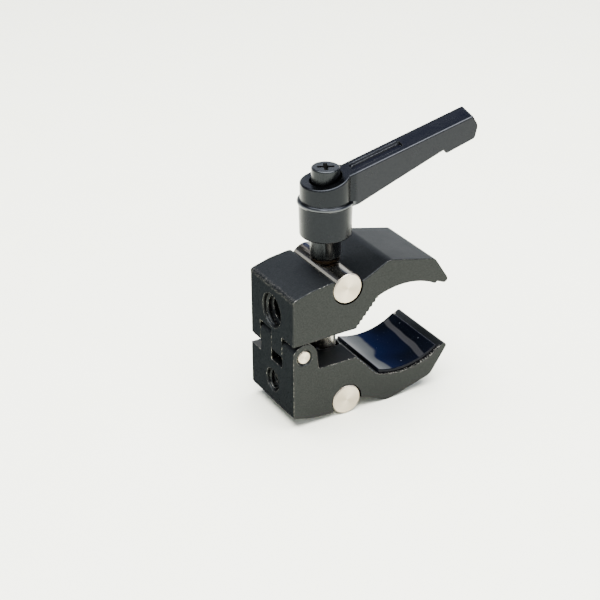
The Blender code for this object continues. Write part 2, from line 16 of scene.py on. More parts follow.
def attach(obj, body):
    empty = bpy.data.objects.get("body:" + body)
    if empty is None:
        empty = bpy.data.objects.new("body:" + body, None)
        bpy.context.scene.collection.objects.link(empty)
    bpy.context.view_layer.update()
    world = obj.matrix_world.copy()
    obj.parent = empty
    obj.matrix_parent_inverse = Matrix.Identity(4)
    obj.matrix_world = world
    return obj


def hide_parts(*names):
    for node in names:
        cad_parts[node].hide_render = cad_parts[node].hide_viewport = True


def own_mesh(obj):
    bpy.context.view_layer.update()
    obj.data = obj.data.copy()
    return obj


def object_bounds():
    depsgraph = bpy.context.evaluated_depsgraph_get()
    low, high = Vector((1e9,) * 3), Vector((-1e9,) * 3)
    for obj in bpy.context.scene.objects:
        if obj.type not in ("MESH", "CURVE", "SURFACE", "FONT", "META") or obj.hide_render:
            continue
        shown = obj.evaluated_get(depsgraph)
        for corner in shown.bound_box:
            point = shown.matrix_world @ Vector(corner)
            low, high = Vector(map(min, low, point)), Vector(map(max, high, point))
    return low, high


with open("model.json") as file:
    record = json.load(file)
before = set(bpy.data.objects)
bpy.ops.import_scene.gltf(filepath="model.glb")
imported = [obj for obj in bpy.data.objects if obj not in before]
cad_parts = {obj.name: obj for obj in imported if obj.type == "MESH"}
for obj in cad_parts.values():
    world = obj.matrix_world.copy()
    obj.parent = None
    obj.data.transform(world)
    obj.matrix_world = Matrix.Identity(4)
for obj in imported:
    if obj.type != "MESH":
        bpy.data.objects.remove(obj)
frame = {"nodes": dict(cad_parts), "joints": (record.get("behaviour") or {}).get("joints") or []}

CAD_BOX = [list(corner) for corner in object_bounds()]
print("pieces in the frame:", len(frame["nodes"]))
print("size in mm:", [round((high - low) * 1000, 1) for low, high in zip(*CAD_BOX)])

# %% [markdown]
# ## Where things are
# All sizes below are in millimetres from one point of the clamp: on the back face, half-way along the
# hinge pin, at the height of the lower barrel's axis. That point is worked out from the frame's joints, so
# nothing has to be fitted by eye.

# %% The clamp's own point and the screw's axis
MM = 0.001
JOINTS = {joint["name"]: joint for joint in frame["joints"]}
PIN = Vector(JOINTS["jaw_hinge"]["pos_m"])
LOWER_BARREL = Vector(JOINTS["lower_barrel_swivel"]["pos_m"])
UPPER_BARREL = Vector(JOINTS["upper_barrel_swivel"]["pos_m"])
ORIGIN = Vector((CAD_BOX[0][0], PIN.y, LOWER_BARREL.z))
SCREW_X = (LOWER_BARREL.x - ORIGIN.x) / MM
LEVER_TURN = radians(-14.6)     # from straight along the jaws, towards the front

TO_CLAMP = Matrix.Translation(ORIGIN) @ Matrix.Scale(MM, 4)
TO_SCREW = TO_CLAMP @ Matrix.Translation((SCREW_X, 0, 0))
TO_LEVER = TO_SCREW @ Matrix.Rotation(LEVER_TURN, 4, "Z")
print("screw's axis is", round(SCREW_X, 2), "mm from the back face")

# %% [markdown]
# ## Small tools for shapes
# An outline is a list of corners, each with its own radius. A prism is an outline with a thickness, and a
# turned piece is half a section spun round an axis, as on a lathe. Each is made in millimetres and then
# put in place with one matrix. Cutting and joining use exact Booleans that are applied at once.

# %% Outlines
def rounded(corners, step=radians(6)):
    """Outline points from corners (x, z, radius); a round corner gets a chord for each step of turn."""
    points = []
    for i, (x, z, radius) in enumerate(corners):
        corner = Vector((x, z))
        if radius == 0:
            points.append(corner)
            continue
        before = (Vector(corners[i - 1][:2]) - corner).normalized()
        after = (Vector(corners[(i + 1) % len(corners)][:2]) - corner).normalized()
        half = before.angle(after) / 2
        centre = corner + (before + after).normalized() * radius / sin(half)
        start = corner + before * radius / tan(half) - centre
        end = corner + after * radius / tan(half) - centre
        turn = atan2(start.x * end.y - start.y * end.x, start.dot(end))
        steps = max(2, ceil(abs(turn) / step))
        points += [centre + Matrix.Rotation(turn * k / steps, 2) @ start for k in range(steps + 1)]
    return points


def arc(centre, radius, start, end, steps):
    """Points along an arc, angles in degrees from the first axis towards the second."""
    angles = [radians(start + (end - start) * i / steps) for i in range(steps + 1)]
    return [Vector((centre[0] + radius * cos(a), centre[1] + radius * sin(a))) for a in angles]


SQUARE = [(0, 0, 1), (9, 0, 1), (9, 9, 1), (0, 9, 1)]
print("a square with round corners has", len(rounded(SQUARE)), "points")


# %% Solids
ON_AXIS_MM = 0.0005     # spun points nearer than this are one point


def to_object(bm, name, place):
    """Turns a bmesh drawn in millimetres into an object at its place."""
    bmesh.ops.recalc_face_normals(bm, faces=bm.faces)
    mesh = bpy.data.meshes.new(name)
    bm.to_mesh(mesh)
    bm.free()
    mesh.transform(place)
    obj = bpy.data.objects.new(name, mesh)
    bpy.context.scene.collection.objects.link(obj)
    return obj


def prism(name, outline, low, high, place=TO_CLAMP):
    """An outline in x and z, pushed along y from low to high."""
    bm = bmesh.new()
    face = bm.faces.new([bm.verts.new((x, low, z)) for x, z in outline])
    pushed = bmesh.ops.extrude_face_region(bm, geom=[face])["geom"]
    moved = [v for v in pushed if isinstance(v, bmesh.types.BMVert)]
    bmesh.ops.translate(bm, vec=(0, high - low, 0), verts=moved)
    return to_object(bm, name, place)


def turned(name, section, steps=96, place=TO_SCREW):
    """Half a section (radius, height) that starts and ends on the axis, spun round it."""
    bm = bmesh.new()
    verts = [bm.verts.new((r, 0, z)) for r, z in section]
    edges = [bm.edges.new(pair) for pair in zip(verts, verts[1:])]
    bmesh.ops.spin(bm, geom=verts + edges, axis=(0, 0, 1), cent=(0, 0, 0), steps=steps, angle=2 * pi,
                   use_merge=True)
    bmesh.ops.remove_doubles(bm, verts=bm.verts, dist=ON_AXIS_MM)
    return to_object(bm, name, place)


print("solids: prism and turned")


# %% Cutting, joining and shading
WELD_MM = 0.004
FLAT = radians(0.4)     # faces that lean less than this from each other are one flat area


def applied(obj, modifier):
    """The object's mesh with its only modifier applied."""
    bpy.context.view_layer.update()
    evaluated = obj.evaluated_get(bpy.context.evaluated_depsgraph_get())
    mesh = bpy.data.meshes.new_from_object(evaluated)
    obj.modifiers.remove(modifier)
    obj.data = mesh
    return obj


def combined(obj, tool, operation):
    """Cuts the tool out of the object, or joins the two; the tool is used up."""
    modifier = obj.modifiers.new("boolean", "BOOLEAN")
    modifier.operation = operation
    modifier.solver = "EXACT"
    modifier.object = tool
    applied(obj, modifier)
    bpy.data.objects.remove(tool, do_unlink=True)
    return obj


def cleaned(obj, bevel_mm=0.0, segments=3, chosen=None):
    """Welds the mesh, makes flat areas one face each, and rounds the chosen edges."""
    bm = bmesh.new()
    bm.from_mesh(obj.data)
    bmesh.ops.remove_doubles(bm, verts=bm.verts, dist=WELD_MM * MM)
    bmesh.ops.dissolve_limit(bm, angle_limit=FLAT, verts=bm.verts, edges=bm.edges)
    if bevel_mm:
        edges = [edge for edge in bm.edges if len(edge.link_faces) == 2 and chosen(edge)]
        bmesh.ops.bevel(bm, geom=edges, offset=bevel_mm * MM, segments=segments, profile=0.5,
                        affect="EDGES", clamp_overlap=False)
    bmesh.ops.recalc_face_normals(bm, faces=bm.faces)
    bm.to_mesh(obj.data)
    bm.free()
    return obj


def shaded(obj, angle=32):
    """Smooth over soft edges, sharp over hard ones, with flat areas kept flat."""
    obj.data.shade_smooth()
    obj.data.set_sharp_from_angle(angle=radians(angle))
    weighted = obj.modifiers.new("flat areas stay flat", "WEIGHTED_NORMAL")
    weighted.keep_sharp = True
    return obj


def refined(node, name):
    """A welded copy of a node of the frame, with clean faces."""
    mesh = frame["nodes"][node].data.copy()
    obj = bpy.data.objects.new(name, mesh)
    bpy.context.scene.collection.objects.link(obj)
    cleaned(obj)
    return shaded(obj)


print("tools: combined, cleaned, shaded and refined")


# %% A thread's ridge
RUN_OUT = 0.4       # turns over which a thread fades at each end
THIN = 0.02         # what is left of its height at the very end


def coil(name, section, pitch, turns, start, steps=48, place=TO_SCREW):
    """A ridge wound as a screw thread: its section (radius, height) runs out at both ends."""
    bm = bmesh.new()
    base = section[0][0]
    rings = []
    count = int(turns * steps)
    for i in range(count + 1):
        angle = 2 * pi * i / steps
        height = max(THIN, min(1, i / (steps * RUN_OUT), (count - i) / (steps * RUN_OUT)))
        ring = []
        for r, z in section:
            radius = base + (r - base) * height
            lift = start + pitch * i / steps + z
            ring.append(bm.verts.new((radius * cos(angle), radius * sin(angle), lift)))
        rings.append(ring)
    for one, two in zip(rings, rings[1:]):
        for k in range(len(section)):
            bm.faces.new((one[k], one[k - 1], two[k - 1], two[k]))
    bm.faces.new(rings[0])
    bm.faces.new(reversed(rings[-1]))
    return to_object(bm, name, place)


print("a thread fades over", RUN_OUT, "of a turn")

# %% [markdown]
# ## Small tools for finishes
# Colours are written as the hex values that a paint program shows, and one function turns them into the
# linear values that light works with. One function adds a node with its settings and its links, and another
# feeds the shader at the end; in both, a node stands for its first output that is in use. Every pattern
# reads object coordinates, which are in metres here, so a grain of 0.5 mm has a scale of 2000.

# %% Colour and nodes
def colour(hex_value):
    """Linear RGBA from an sRGB hex value."""
    parts = [int(hex_value[i:i + 2], 16) / 255 for i in (1, 3, 5)]
    linear = [p / 12.92 if p <= 0.04045 else ((p + 0.055) / 1.055) ** 2.4 for p in parts]
    return (*linear, 1.0)


def output(source):
    """The first output in use of a node; a socket stands for itself."""
    if isinstance(source, bpy.types.NodeSocket):
        return source
    return next(socket for socket in source.outputs if socket.enabled)


def add(material, kind, settings=None, **links):
    """Adds a node; settings are properties or sockets by name, links are sockets fed by other nodes."""
    tree = material.node_tree
    made = tree.nodes.new("ShaderNode" + kind)
    for name, value in (settings or {}).items():
        if isinstance(name, str) and hasattr(made, name):
            setattr(made, name, value)
        else:
            made.inputs[name].default_value = value
    for name, source in links.items():
        socket = made.inputs[int(name[1:])] if name[0] == "_" else made.inputs[name.replace("_", " ")]
        tree.links.new(output(source), socket)
    return made


def feed(material, shader, **links):
    """Feeds the shader's sockets from other nodes."""
    for name, source in links.items():
        material.node_tree.links.new(output(source), shader.inputs[name.replace("_", " ")])


def new_finish(name, base, roughness, metallic):
    """A material with its Principled shader set; returns the material and the shader."""
    material = bpy.data.materials.new(name)
    material.use_nodes = True
    shader = material.node_tree.nodes["Principled BSDF"]
    shader.inputs["Base Color"].default_value = colour(base)
    shader.inputs["Roughness"].default_value = roughness
    shader.inputs["Metallic"].default_value = metallic
    return material, shader


def per_mm(size_mm):
    """Scale of a pattern whose grain is that many millimetres."""
    return 1 / (size_mm * MM)


print("a grain of 0.5 mm has scale", per_mm(0.5))

# %% [markdown]
# ## Black anodised aluminium
# The jaws are cut from an extruded bar, blasted with fine grit and anodised black. Dyed oxide over metal
# looks like a very dark metal: nearly black where it mirrors a dark room, and grey where it mirrors a pale
# table. The cut sides are warmer and shine more tightly than the extruded skin. Where the skin turns towards
# the jaws' tips it gets a painted lighter tone, a painted light. Faces turned towards the back get a painted
# shade in their shine. The grit leaves a fine grain. The real grit is under 0.1 mm, which is too fine to
# show, so it is drawn at 0.4 mm.

# %% The oxide's tone
GRIT_MM = 0.4


def oxide_tone(material, grit, normal, side):
    """Tone of the oxide: the extruded skin, with painted light where it turns to the tips, and the sides that
    were cut.
    """
    speck = add(material, "MapRange", {"From Min": 0.36, "From Max": 0.64}, Value=grit)
    # painted light: the skin where it turns towards the jaws' tips is mixed towards a lighter grey
    tipward_painted_light = add(material, "MapRange", {"From Min": 0.2, "From Max": 0.45}, Value=normal.outputs["X"])
    skin = add(material, "Mix", {"data_type": "RGBA", 6: colour("#191b1d"), 7: colour("#242628")}, _0=speck)
    cut = add(material, "Mix", {"data_type": "RGBA", 6: colour("#202222"), 7: colour("#2b2c2c")}, _0=speck)
    # front is the skin with the painted light on faces turned to the tips
    front = add(material, "Mix", {"data_type": "RGBA", 7: colour("#3a3e42")}, _0=tipward_painted_light, _6=skin)
    return add(material, "Mix", {"data_type": "RGBA"}, _0=side, _6=front, _7=cut)


print("grit drawn at", GRIT_MM, "mm")

# %% [markdown]
# ## Wear, painted glints and painted shadow on the jaws
# Oxide is hard but thin. It has chipped down to bright metal along the edges, and it is rubbed along the
# upper back edge. The rims of the lower jaw's seat get the same bright metal, partly as wear and partly as
# painted glints on the crests of their ridges. The gaps beside the barrels get a painted shadow, mostly below
# them and towards the jaws' mouth. Each kind of place gets its own mask: edges are found by rounding the
# normals, and lines across a jaw by their distance.

# %% Masks for edges and for lines across a jaw
EDGE_MM = 0.16


def edge_mask(material, radius_mm, low, high):
    """1 along edges and 0 on faces, from how far a rounded normal leans away from the real one."""
    soft = add(material, "Bevel", {"samples": 6, "Radius": radius_mm * MM})
    geometry = add(material, "NewGeometry")
    lean = add(material, "VectorMath", {"operation": "DOT_PRODUCT"}, _0=soft, _1=geometry.outputs["Normal"])
    mask = add(material, "MapRange", {"From Min": 1 - low, "From Max": 1 - high}, Value=lean)
    return soft, mask


def round_line(material, place, line, near, far):
    """1 from near to far, in mm, round a line (x, z) across the jaw; and each point's way from it."""
    point = ORIGIN + Vector((line[0], 0, line[1])) * MM
    from_line = add(material, "VectorMath", {"operation": "SUBTRACT", 1: point}, _0=place.outputs["Object"])
    flat = add(material, "VectorMath", {"operation": "MULTIPLY", 1: (1, 0, 1)}, _0=from_line)
    away = add(material, "VectorMath", {"operation": "LENGTH"}, _0=flat)
    middle, reach = (near + far) / 2 * MM, (far - near) / 2 * MM
    mask = add(material, "Math", {"operation": "COMPARE", 1: middle, 2: reach}, _0=away)
    return from_line, mask


def worn_and_glinting_line(material, place, line, near, far, breaks, most, row):
    """Broken bright metal round such a line, in a row (middle, half) at each side of the jaw's middle, for
    wear and for painted glints.
    """
    from_line, mask = round_line(material, place, line, near, far)
    broken = add(material, "MapRange", {"From Min": 0.5, "From Max": 0.62, "To Max": most}, Value=breaks)
    both = add(material, "Math", {"operation": "MULTIPLY"}, _0=mask, _1=broken)
    across = add(material, "SeparateXYZ", Vector=from_line)
    out = add(material, "Math", {"operation": "ABSOLUTE"}, _0=across.outputs["Y"])
    in_row = add(material, "Math", {"operation": "COMPARE", 1: row[0] * MM, 2: row[1] * MM}, _0=out)
    return add(material, "Math", {"operation": "MULTIPLY"}, _0=both, _1=in_row)


print("edges are rubbed within", EDGE_MM, "mm")


# %% Chipped and rubbed places, painted glints and painted shadow
CHIP_MM = 0.9
BACK_EDGE = (0.0, 36.5)
SEAT, SEAT_R = (36.5, 26.1), 22.5                   # the lower jaw's round seat
WHOLE_WIDTH, SEAT_RIMS = (6.0, 7.0), (11.6, 0.36)   # rows beside the jaw's middle: middle, half
GAP_SHADOW_SHIFT, GAP_SHADOW_R = (0.18, -0.16), 4.8             # painted shadow round a barrel, a little off its axis


def oxide_wear_and_glints(material, place, grit, side, edge):
    """Bright metal: chips along edges and the rubbed upper back edge, and painted glints on the rims of the
    seat.
    """
    chips = add(material, "TexNoise", {"Scale": per_mm(CHIP_MM), "Detail": 4.0, "Roughness": 0.6},
                Vector=place.outputs["Object"])
    broken = add(material, "MapRange", {"From Min": 0.48, "From Max": 0.6, "To Max": 0.6}, Value=chips)
    chipped = add(material, "Math", {"operation": "MULTIPLY"}, _0=edge, _1=broken)
    back = worn_and_glinting_line(material, place, BACK_EDGE, 0.0, 1.1, grit, 0.07, WHOLE_WIDTH)
    # painted glints: the crests along the seat's two rims get bright metal, partly worn and partly painted
    # highlight
    rims = worn_and_glinting_line(material, place, SEAT, SEAT_R - 0.2, SEAT_R + 0.12, grit, 0.9, SEAT_RIMS)
    lines = add(material, "Math", {"operation": "ADD"}, _0=back, _1=rims)
    not_side = add(material, "MapRange", {"From Min": 0.75, "From Max": 0.95, "To Min": 1.0, "To Max": 0.0},
                   Value=side)
    # rubbed holds real wear on the back edge and painted glints on the seat's rims
    rubbed = add(material, "Math", {"operation": "MULTIPLY"}, _0=lines, _1=not_side)
    return add(material, "Math", {"operation": "MAXIMUM"}, _0=chipped, _1=rubbed)


def gap_painted_shadow(material, place):
    """Painted shadow in the gaps between the jaws and their two barrels."""
    gaps = []
    for barrel in (UPPER_BARREL, LOWER_BARREL):
        line = (SCREW_X + GAP_SHADOW_SHIFT[0], (barrel.z - ORIGIN.z) / MM + GAP_SHADOW_SHIFT[1])
        gaps.append(round_line(material, place, line, 0.0, GAP_SHADOW_R)[1])
    return add(material, "Math", {"operation": "MAXIMUM"}, _0=gaps[0], _1=gaps[1])


print("chips are", CHIP_MM, "mm")


# %% Black anodised aluminium, put together
SHINE_MM = 6.0      # the shine is a little cloudy at this size


def anodised_aluminium():
    material, shader = new_finish("black anodised aluminium, blasted", "#2f302f", 0.38, 1.0)
    place = add(material, "TexCoord")
    grit = add(material, "TexNoise", {"Scale": per_mm(GRIT_MM), "Detail": 3.0, "Roughness": 0.65},
               Vector=place.outputs["Object"])
    cloud = add(material, "TexNoise", {"Scale": per_mm(SHINE_MM), "Detail": 3.0},
                Vector=place.outputs["Object"])
    normal = add(material, "SeparateXYZ", Vector=place.outputs["Normal"])
    side = add(material, "Math", {"operation": "ABSOLUTE"}, _0=normal.outputs["Y"])
    # painted shade: faces turned towards the back get a darker specular tint, so they mirror less
    back_painted_shade = add(material, "MapRange", {"From Min": -0.9, "From Max": 0.45, "To Min": 0.42},
                  Value=normal.outputs["X"])
    soft, edge = edge_mask(material, EDGE_MM, 0.01, 0.15)
    tone = oxide_tone(material, grit, normal, side)
    wear_and_glints = oxide_wear_and_glints(material, place, grit, side, edge)
    gap_shadow = gap_painted_shadow(material, place)
    # bright bare metal for chips and the rubbed back edge, and painted glints on the seat's rims
    bare = add(material, "Mix", {"data_type": "RGBA", 7: colour("#c9c6bd")}, _0=wear_and_glints, _6=tone)
    # painted shadow: near black in the gaps beside the barrels, a little below them and towards the mouth
    with_gap_shadow = add(material, "Mix", {"data_type": "RGBA", 7: colour("#050505")}, _0=gap_shadow, _6=bare)
    tight = add(material, "MapRange", {"To Min": 0.46, "To Max": 0.36}, Value=side)
    gloss = add(material, "Math", {"operation": "MULTIPLY_ADD", 1: 0.1}, _0=cloud, _2=tight)
    bump = add(material, "Bump", {"Strength": 0.6, "Distance": 0.04 * MM}, Height=grit, Normal=soft)
    feed(material, shader, Base_Color=with_gap_shadow, Specular_Tint=back_painted_shade, Roughness=gloss, Normal=bump)
    return material


ANODISED = anodised_aluminium()
print(ANODISED.name, "with", len(ANODISED.node_tree.nodes), "nodes")

# %% [markdown]
# ## Black coated zinc
# The lever is a zinc casting with a thin satin black coat. The coat flows smooth over the casting, so its
# grain is finer and its shine tighter than the jaws', and it follows the soft waves of the cast skin. Every
# edge gets a painted highlight, a thin lighter rim. The arm is a little lighter than the hub, and the proud
# ring round the hub gets a painted highlight and a tighter shine. A few edges are rubbed bright.

# %% The coat's tone
GRAIN_MM, SKIN_MM, COAT_CHIP_MM = 0.5, 4.0, 1.4
COAT_EDGE_MM = 0.14
ARM_FROM_R = (8.2, 9.0)
RING_Z, RING_HALF, RING_R = 57.8, 0.8, (7.5, 7.8)


def lever_parts(material, place):
    """Two masks: the arm, and the proud ring round the hub."""
    from_screw = add(material, "VectorMath", {"operation": "SUBTRACT", 1: LOWER_BARREL},
                     _0=place.outputs["Object"])
    level = add(material, "VectorMath", {"operation": "MULTIPLY", 1: (1, 1, 0)}, _0=from_screw)
    away = add(material, "VectorMath", {"operation": "LENGTH"}, _0=level)
    arm = add(material, "MapRange", {"From Min": ARM_FROM_R[0] * MM, "From Max": ARM_FROM_R[1] * MM},
              Value=away)
    height = add(material, "SeparateXYZ", Vector=from_screw)
    level_with = add(material, "Math", {"operation": "COMPARE", 1: RING_Z * MM, 2: RING_HALF * MM},
                     _0=height.outputs["Z"])
    proud = add(material, "MapRange", {"From Min": RING_R[0] * MM, "From Max": RING_R[1] * MM}, Value=away)
    on_hub = add(material, "Math", {"operation": "SUBTRACT", 0: 1.0}, _1=arm)
    both = add(material, "Math", {"operation": "MULTIPLY"}, _0=level_with, _1=proud)
    ring = add(material, "Math", {"operation": "MULTIPLY"}, _0=both, _1=on_hub)
    return arm, ring


def coat_tone(material, grain, arm, ring, edge):
    """Tone of the coat on the hub, the ring and the arm, with a painted highlight on the ring and along every
    edge.
    """
    hub = add(material, "Mix", {"data_type": "RGBA", 6: colour("#1a1b1d"), 7: colour("#212326")}, _0=grain)
    handle = add(material, "Mix", {"data_type": "RGBA", 6: colour("#222326"), 7: colour("#2a2b2e")},
                 _0=grain)
    # painted highlight: the proud ring round the hub is mixed towards a lighter grey
    ring_highlight = add(material, "Mix", {"data_type": "RGBA", 7: colour("#46484b")}, _0=ring, _6=hub)
    tone = add(material, "Mix", {"data_type": "RGBA"}, _0=arm, _6=ring_highlight, _7=handle)
    # painted highlight: a thin lighter rim along every edge
    edge_highlight = add(material, "Math", {"operation": "MULTIPLY", 1: 0.3}, _0=edge)
    return add(material, "Mix", {"data_type": "RGBA", 7: colour("#7c8085")}, _0=edge_highlight, _6=tone)


print("the arm's tone starts", ARM_FROM_R[0], "mm from the screw's axis")


# %% Black coated zinc, put together
def coated_zinc():
    material, shader = new_finish("black coated zinc casting", "#2e3033", 0.3, 1.0)
    shader.inputs["Specular Tint"].default_value = colour("#f2f2f2")
    place = add(material, "TexCoord")
    grain = add(material, "TexNoise", {"Scale": per_mm(GRAIN_MM), "Detail": 2.0},
                Vector=place.outputs["Object"])
    skin = add(material, "TexNoise", {"Scale": per_mm(SKIN_MM), "Detail": 2.0},
               Vector=place.outputs["Object"])
    chips = add(material, "TexNoise", {"Scale": per_mm(COAT_CHIP_MM), "Detail": 4.0},
                Vector=place.outputs["Object"])
    soft, edge = edge_mask(material, COAT_EDGE_MM, 0.05, 0.4)
    broken = add(material, "MapRange", {"From Min": 0.58, "From Max": 0.68}, Value=chips)
    worn = add(material, "Math", {"operation": "MULTIPLY"}, _0=edge, _1=broken)
    arm, ring = lever_parts(material, place)
    tone = coat_tone(material, grain, arm, ring, edge)
    bare = add(material, "Mix", {"data_type": "RGBA", 7: colour("#b9bcc0")}, _0=worn, _6=tone)
    satin = add(material, "MapRange", {"To Min": 0.21, "To Max": 0.31}, Value=skin)
    gloss = add(material, "Math", {"operation": "MULTIPLY_ADD", 1: -0.1}, _0=ring, _2=satin)
    fine = add(material, "Bump", {"Strength": 0.2, "Distance": 0.015 * MM}, Height=grain, Normal=soft)
    wave = add(material, "Bump", {"Strength": 0.3, "Distance": 0.06 * MM}, Height=skin, Normal=fine)
    feed(material, shader, Base_Color=bare, Roughness=gloss, Normal=wave)
    return material


ZINC = coated_zinc()
print(ZINC.name, "with", len(ZINC.node_tree.nodes), "nodes")

# %% [markdown]
# ## Turned steel
# The barrels and the hinge pin are turned from bright steel bar. Facing an end on the lathe leaves fine
# circles, which catch the light as a soft fan, and drawing the bar leaves faint lines along its length,
# where the steel is greyer. The real circles are about 0.05 mm apart, so they are drawn at 0.3 mm to show.
# The fan shows at any distance, but the drawn circles alone are too coarse to make it, so its light and dark
# sectors are part of the tone.

# %% The end's fan of light
CIRCLE_MM, DRAWN_MM, STAIN_MM = 0.3, 0.35, 2.5
FAN_TURN = 0.9      # radians


def fan_of_light(material, from_axis, end):
    """Two light and two dark sectors on a faced end, softly joined; nothing on the bar's sides."""
    flat = add(material, "SeparateXYZ", Vector=from_axis)
    round_axis = add(material, "Math", {"operation": "ARCTAN2"}, _0=flat.outputs["Z"], _1=flat.outputs["X"])
    twice = add(material, "Math", {"operation": "MULTIPLY_ADD", 1: 2.0, 2: FAN_TURN}, _0=round_axis)
    fan = add(material, "Math", {"operation": "COSINE"}, _0=twice)
    on_end = add(material, "Math", {"operation": "MULTIPLY"}, _0=fan, _1=end)
    return add(material, "MapRange", {"From Min": -1.0, "To Max": 0.5}, Value=on_end)


print("circles drawn", CIRCLE_MM, "mm apart")


# %% Turned steel, with its circles round any axis along the hinge pin
def turned_steel(name, centre):
    material, shader = new_finish(name, "#d8d2c8", 0.3, 1.0)
    shader.inputs["Anisotropic"].default_value = 0.8
    place = add(material, "TexCoord")
    from_axis = add(material, "VectorMath", {"operation": "SUBTRACT", 1: centre},
                    _0=place.outputs["Object"])
    flat = add(material, "VectorMath", {"operation": "MULTIPLY", 1: (1, 0, 1)}, _0=from_axis)
    away = add(material, "VectorMath", {"operation": "LENGTH"}, _0=flat)
    rings = add(material, "Math", {"operation": "MULTIPLY", 1: 2 * pi * per_mm(CIRCLE_MM)}, _0=away)
    waves = add(material, "Math", {"operation": "SINE"}, _0=rings)
    drawn = add(material, "VectorMath", {"operation": "MULTIPLY", 1: (1, 0.04, 1)}, _0=from_axis)
    lines = add(material, "TexNoise", {"Scale": per_mm(DRAWN_MM), "Detail": 3.0}, Vector=drawn)
    stain = add(material, "TexNoise", {"Scale": per_mm(STAIN_MM), "Detail": 4.0},
                Vector=place.outputs["Object"])
    facing = add(material, "SeparateXYZ", Vector=place.outputs["Normal"])
    end = add(material, "Math", {"operation": "ABSOLUTE"}, _0=facing.outputs["Y"])
    tone = add(material, "Mix", {"data_type": "RGBA", 6: colour("#b6aa98"), 7: colour("#d9cdba")}, _0=stain)
    faced = add(material, "Mix", {"data_type": "RGBA", 7: colour("#85796a")},
                _0=fan_of_light(material, from_axis, end), _6=tone)
    bar = add(material, "Mix", {"data_type": "RGBA", 6: colour("#6b665e"), 7: colour("#a9a294")}, _0=lines)
    steel = add(material, "Mix", {"data_type": "RGBA"}, _0=end, _6=bar, _7=faced)
    least = add(material, "MapRange", {"To Min": 0.12, "To Max": 0.24}, Value=end)
    gloss = add(material, "Math", {"operation": "MULTIPLY_ADD", 1: 0.18}, _0=lines, _2=least)
    tangent = add(material, "Tangent", {"direction_type": "RADIAL", "axis": "Y"})
    circles = add(material, "Bump", {"Strength": 0.3, "Distance": 0.01 * MM}, Height=waves)
    bump = add(material, "Bump", {"Strength": 0.15, "Distance": 0.01 * MM}, Height=lines, Normal=circles)
    feed(material, shader, Base_Color=steel, Roughness=gloss, Tangent=tangent, Normal=bump)
    return material


PIN_STEEL = turned_steel("turned steel of the pin", PIN)
UPPER_STEEL = turned_steel("turned steel of the upper barrel", UPPER_BARREL)
LOWER_STEEL = turned_steel("turned steel of the lower barrel", LOWER_BARREL)
print("turned steel for", PIN_STEEL.name, "and both barrels")

# %% [markdown]
# ## Steel of the screw
# The stud is ground bright. The insert, with its smooth collar, and the retaining screw are blackened in an
# oil bath, which leaves a dark grey that is thinner and lighter where hands touch it. The washer is bronze,
# brown with old grease, and the faces in the cross recess are painted near black, a painted shade. All of
# them are one recipe: fine marks, drawn out along the way they were made, over a cloudy tone.

# %% Ground steel, blackened steel, bronze, painted shade for the recess and spring wire
HANDLED_MM, SMALL_EDGE_MM = 3.0, 0.08


def round_steel(name, dark, light, roughness, grain_mm, stretch, bite=0.2):
    """A metal with fine marks; stretch says how they are drawn out along x, y and z."""
    material, shader = new_finish(name, light, roughness, 1.0)
    place = add(material, "TexCoord")
    drawn = add(material, "VectorMath", {"operation": "MULTIPLY", 1: stretch}, _0=place.outputs["Object"])
    marks = add(material, "TexNoise", {"Scale": per_mm(grain_mm), "Detail": 4.0}, Vector=drawn)
    cloud = add(material, "TexNoise", {"Scale": per_mm(HANDLED_MM), "Detail": 4.0},
                Vector=place.outputs["Object"])
    tone = add(material, "Mix", {"data_type": "RGBA", 6: colour(dark), 7: colour(light)}, _0=cloud)
    gloss = add(material, "MapRange", {"To Min": roughness - 0.08, "To Max": roughness + 0.1}, Value=marks)
    soft, _ = edge_mask(material, SMALL_EDGE_MM, 0.05, 0.4)
    bump = add(material, "Bump", {"Strength": bite, "Distance": 0.01 * MM}, Height=marks, Normal=soft)
    feed(material, shader, Base_Color=tone, Roughness=gloss, Normal=bump)
    return material


GROUND = round_steel("ground steel of the stud", "#b3ada2", "#d9d4ca", 0.26, 0.3, (1, 1, 12))
BLACKENED = round_steel("blackened steel", "#232527", "#2d2f31", 0.27, 0.5, (1, 1, 0.3), 0.05)
BRONZE = round_steel("bronze, greased", "#1a1510", "#2b2219", 0.34, 0.4, (1, 1, 1))
RECESS_SHADE = round_steel("painted shade in the cross recess", "#070707", "#121211", 0.6, 0.3, (1, 1, 1))
WIRE = round_steel("spring wire", "#8d8b86", "#b5b2ab", 0.32, 0.2, (1, 1, 1))
print("finishes:", ", ".join(m.name for m in (GROUND, BLACKENED, BRONZE, RECESS_SHADE, WIRE)))

# %% [markdown]
# ## Glossy vinyl
# The pad is a thin sheet of dark vinyl that keeps the lower jaw from marking a tube. It has the wet gloss of
# a pressed plastic, nearly black with some blue in it. The glue underneath leaves slow waves and a slight
# twist, which bend what it mirrors. The two sides were cut with a knife, so they are dull. A few specks of
# dust lie on top, drawn larger than real ones so that they show.

# %% Glossy vinyl
WAVE_MM, WAVE_DEPTH_MM, DUST_MM = 13.0, 0.8, 2.6
TWIST = -4.0        # how fast the pad's slope across the jaw changes along it, per metre


